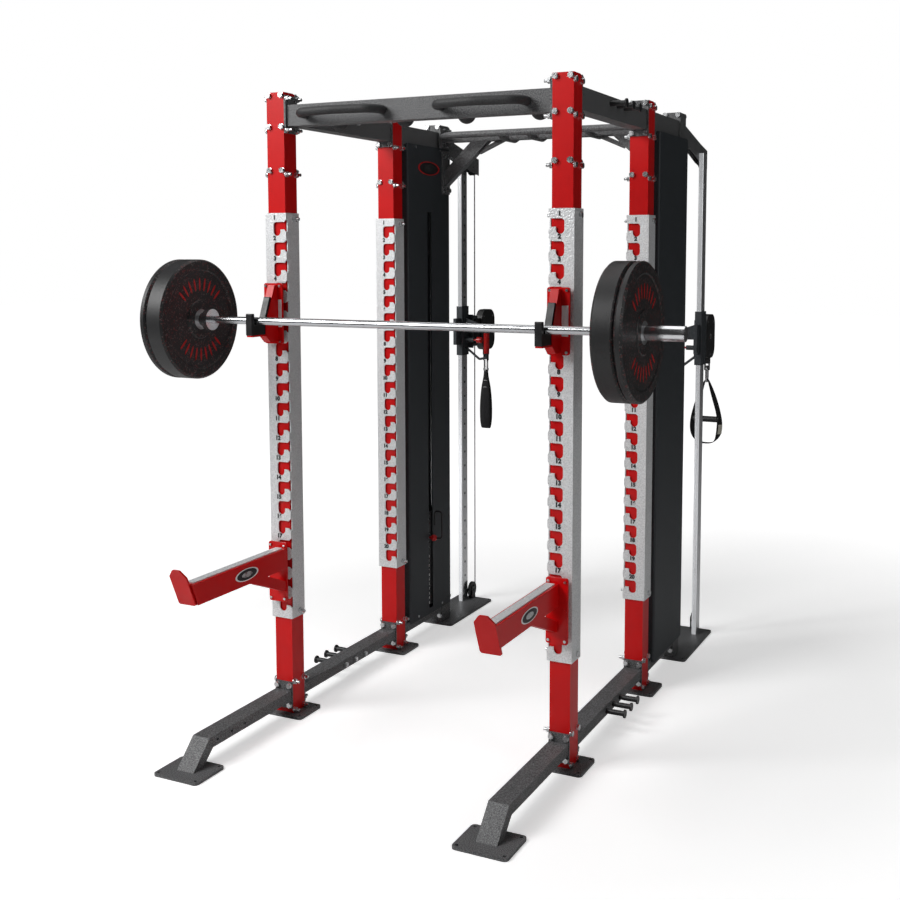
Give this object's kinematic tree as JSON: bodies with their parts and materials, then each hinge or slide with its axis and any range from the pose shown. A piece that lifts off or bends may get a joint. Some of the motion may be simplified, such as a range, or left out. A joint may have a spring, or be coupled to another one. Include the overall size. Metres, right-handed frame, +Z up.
{
  "type": "power rack with cable towers",
  "caption": "Power rack with notched front and rear posts, barbell on J-hooks, spotter arms, and a pulley tower with adjustable carriage at each rear corner.",
  "frame": {"origin": "on the floor, at the centre of the overall box", "axes": "+Z up, +X to the right of a person facing the front, +Y to the rear"},
  "size_m": [2.111, 2.567, 2.402],
  "materials": {
    "red_paint": "gloss",
    "charcoal_paint": "fine wrinkle",
    "black_sheet": "fine texture",
    "hammered_silver": "hammered",
    "zinc": "zinc plated",
    "chrome": "polished",
    "grip_coat": "fine texture",
    "stack_steel": "satin",
    "cable": "smooth jacket",
    "black_plastic": "satin",
    "red_plastic": "satin",
    "bumper_rubber": "flecked",
    "buffer_rubber": "matt",
    "webbing": "woven",
    "shaft_chrome": "satin, knurled"
  },
  "bodies": {
    "frame": {"posts": "red_paint", "floor_plates": "charcoal_paint", "notch_strips": "hammered_silver", "front_feet": "charcoal_paint", "base_rails": "charcoal_paint", "top_rails": "charcoal_paint", "front_cross_beam": "charcoal_paint", "front_grips": "grip_coat", "rear_pull_up_bar": "charcoal_paint", "knee_braces": "charcoal_paint", "band_pegs": "charcoal_paint", "tower_uprights": "charcoal_paint", "tower_shrouds": "black_sheet", "guide_rods": "chrome", "resting_plates": "stack_steel", "stack_buffers": "buffer_rubber", "pulley_columns": "chrome", "sheave_brackets": "charcoal_paint", "column_cables": "cable", "frame_bolts": "zinc"},
    "barbell": {"barbell_shaft": "shaft_chrome"},
    "hook_left": {"jhook_left": "red_paint", "jhook_liner_left": "black_plastic"},
    "arm_left": {"spotter_arm_left": "red_paint", "arm_pads_left": "hammered_silver"},
    "sleeve_left": {"bar_sleeve_left": "chrome", "bumper_plates_left": "bumper_rubber"},
    "stack_left": {"lifted_plates_left": "stack_steel", "stack_cable_left": "cable"},
    "pin_left": {"selector_pin_left": "red_plastic"},
    "tower_wheel_left": {"tower_sheave_left": "black_plastic"},
    "head_wheel_left": {"head_sheave_left": "black_plastic"},
    "foot_wheel_left": {"foot_sheave_left": "black_plastic"},
    "column_carriage_left": {"carriage_left": "black_sheet", "carriage_grip_left": "red_plastic"},
    "lock_left": {"pop_pin_left": "red_plastic"},
    "swivel_left": {"swivel_housing_left": "black_plastic"},
    "swivel_wheel_left": {"swivel_sheave_left": "black_plastic"},
    "handle_left": {"snap_link_left": "zinc", "ankle_strap": "webbing"},
    "hook_right": {"jhook_right": "red_paint", "jhook_liner_right": "black_plastic"},
    "arm_right": {"spotter_arm_right": "red_paint", "arm_pads_right": "hammered_silver"},
    "sleeve_right": {"bar_sleeve_right": "chrome", "bumper_plates_right": "bumper_rubber"},
    "stack_right": {"lifted_plates_right": "stack_steel", "stack_cable_right": "cable"},
    "pin_right": {"selector_pin_right": "red_plastic"},
    "tower_wheel_right": {"tower_sheave_right": "black_plastic"},
    "head_wheel_right": {"head_sheave_right": "black_plastic"},
    "foot_wheel_right": {"foot_sheave_right": "black_plastic"},
    "column_carriage_right": {"carriage_right": "black_sheet", "carriage_grip_right": "red_plastic"},
    "lock_right": {"pop_pin_right": "red_plastic"},
    "swivel_right": {"swivel_housing_right": "black_plastic"},
    "swivel_wheel_right": {"swivel_sheave_right": "black_plastic"},
    "handle_right": {"snap_link_right": "zinc", "stirrup_strap": "webbing", "stirrup_grip": "black_plastic"}
  },
  "joints": [
    {"name": "hook_lift_left", "type": "slide", "parent": "frame", "child": "hook_left", "axis": [0, 0, 1], "range_m": [0, 0.024]},
    {"name": "arm_lift_left", "type": "slide", "parent": "frame", "child": "arm_left", "axis": [0, 0, 1], "range_m": [0, 0.024]},
    {"name": "sleeve_spin_left", "type": "hinge", "parent": "barbell", "child": "sleeve_left", "pos_m": [-0.9, -0.792, 1.5548], "axis": [1, 0, 0], "continuous": true},
    {"name": "stack_lift_left", "type": "slide", "parent": "frame", "child": "stack_left", "axis": [0, 0, 1], "range_m": [0, 1.4], "deforming": ["stack_cable_left"]},
    {"name": "pin_pull_left", "type": "slide", "parent": "stack_left", "child": "pin_left", "axis": [1, 0, 0], "range_m": [0, 0.06]},
    {"name": "tower_wheel_turn_left", "type": "hinge", "parent": "frame", "child": "tower_wheel_left", "pos_m": [-0.58, 0.5315, 2.233], "axis": [1, 0, 0], "range_deg": [-2300, 10]},
    {"name": "head_wheel_turn_left", "type": "hinge", "parent": "frame", "child": "head_wheel_left", "pos_m": [-0.592, 1.0435, 2.233], "axis": [1, 0, 0], "range_deg": [-2300, 10]},
    {"name": "foot_wheel_turn_left", "type": "hinge", "parent": "frame", "child": "foot_wheel_left", "pos_m": [-0.592, 1.0435, 0.054], "axis": [1, 0, 0], "range_deg": [-2300, 10]},
    {"name": "carriage_slide_left", "type": "slide", "parent": "frame", "child": "column_carriage_left", "axis": [0, 0, 1], "range_m": [-0.86, 0.65]},
    {"name": "lock_pull_left", "type": "slide", "parent": "column_carriage_left", "child": "lock_left", "axis": [1, 0, 0], "range_m": [0, 0.01], "stiffness_N_per_m": 300},
    {"name": "swivel_turn_left", "type": "hinge", "parent": "column_carriage_left", "child": "swivel_left", "pos_m": [-0.592, 1.0795, 1.405], "axis": [0, 0, 1], "range_deg": [-60, 60]},
    {"name": "swivel_wheel_turn_left", "type": "hinge", "parent": "swivel_left", "child": "swivel_wheel_left", "pos_m": [-0.592, 1.2055, 1.405], "axis": [1, 0, 0], "range_deg": [-1900, 10]},
    {"name": "handle_swing_left", "type": "hinge", "parent": "swivel_left", "child": "handle_left", "pos_m": [-0.592, 1.2145, 1.25], "axis": [1, 0, 0], "range_deg": [-12, 12]},
    {"name": "hook_lift_right", "type": "slide", "parent": "frame", "child": "hook_right", "axis": [0, 0, 1], "range_m": [0, 0.024]},
    {"name": "arm_lift_right", "type": "slide", "parent": "frame", "child": "arm_right", "axis": [0, 0, 1], "range_m": [0, 0.024]},
    {"name": "sleeve_spin_right", "type": "hinge", "parent": "barbell", "child": "sleeve_right", "pos_m": [0.9, -0.792, 1.5548], "axis": [1, 0, 0], "continuous": true},
    {"name": "stack_lift_right", "type": "slide", "parent": "frame", "child": "stack_right", "axis": [0, 0, 1], "range_m": [0, 1.4], "deforming": ["stack_cable_right"]},
    {"name": "pin_pull_right", "type": "slide", "parent": "stack_right", "child": "pin_right", "axis": [-1, 0, 0], "range_m": [0, 0.06]},
    {"name": "tower_wheel_turn_right", "type": "hinge", "parent": "frame", "child": "tower_wheel_right", "pos_m": [0.58, 0.5315, 2.233], "axis": [1, 0, 0], "range_deg": [-2300, 10]},
    {"name": "head_wheel_turn_right", "type": "hinge", "parent": "frame", "child": "head_wheel_right", "pos_m": [0.592, 1.0435, 2.233], "axis": [1, 0, 0], "range_deg": [-2300, 10]},
    {"name": "foot_wheel_turn_right", "type": "hinge", "parent": "frame", "child": "foot_wheel_right", "pos_m": [0.592, 1.0435, 0.054], "axis": [1, 0, 0], "range_deg": [-2300, 10]},
    {"name": "carriage_slide_right", "type": "slide", "parent": "frame", "child": "column_carriage_right", "axis": [0, 0, 1], "range_m": [-0.86, 0.65]},
    {"name": "lock_pull_right", "type": "slide", "parent": "column_carriage_right", "child": "lock_right", "axis": [-1, 0, 0], "range_m": [0, 0.01], "stiffness_N_per_m": 300},
    {"name": "swivel_turn_right", "type": "hinge", "parent": "column_carriage_right", "child": "swivel_right", "pos_m": [0.592, 1.0795, 1.405], "axis": [0, 0, 1], "range_deg": [-60, 60]},
    {"name": "swivel_wheel_turn_right", "type": "hinge", "parent": "swivel_right", "child": "swivel_wheel_right", "pos_m": [0.592, 1.2055, 1.405], "axis": [1, 0, 0], "range_deg": [-1900, 10]},
    {"name": "handle_swing_right", "type": "hinge", "parent": "swivel_right", "child": "handle_right", "pos_m": [0.592, 1.2145, 1.25], "axis": [1, 0, 0], "range_deg": [-12, 12]},
    {"name": "bar_lift", "type": "slide", "parent": "hook_left", "child": "barbell", "axis": [0, 0, 1], "range_m": [0, 0.3]}
  ],
  "couplings": [
    {"joint": "tower_wheel_turn_left", "follows": "stack_lift_left", "rad_per_m": -27.778},
    {"joint": "head_wheel_turn_left", "follows": "stack_lift_left", "rad_per_m": -27.778},
    {"joint": "foot_wheel_turn_left", "follows": "stack_lift_left", "rad_per_m": -27.778},
    {"joint": "swivel_wheel_turn_left", "follows": "stack_lift_left", "rad_per_m": -22.222},
    {"joint": "tower_wheel_turn_right", "follows": "stack_lift_right", "rad_per_m": -27.778},
    {"joint": "head_wheel_turn_right", "follows": "stack_lift_right", "rad_per_m": -27.778},
    {"joint": "foot_wheel_turn_right", "follows": "stack_lift_right", "rad_per_m": -27.778},
    {"joint": "swivel_wheel_turn_right", "follows": "stack_lift_right", "rad_per_m": -22.222},
    {"joint": "hook_lift_right", "follows": "hook_lift_left", "ratio": 1}
  ]
}
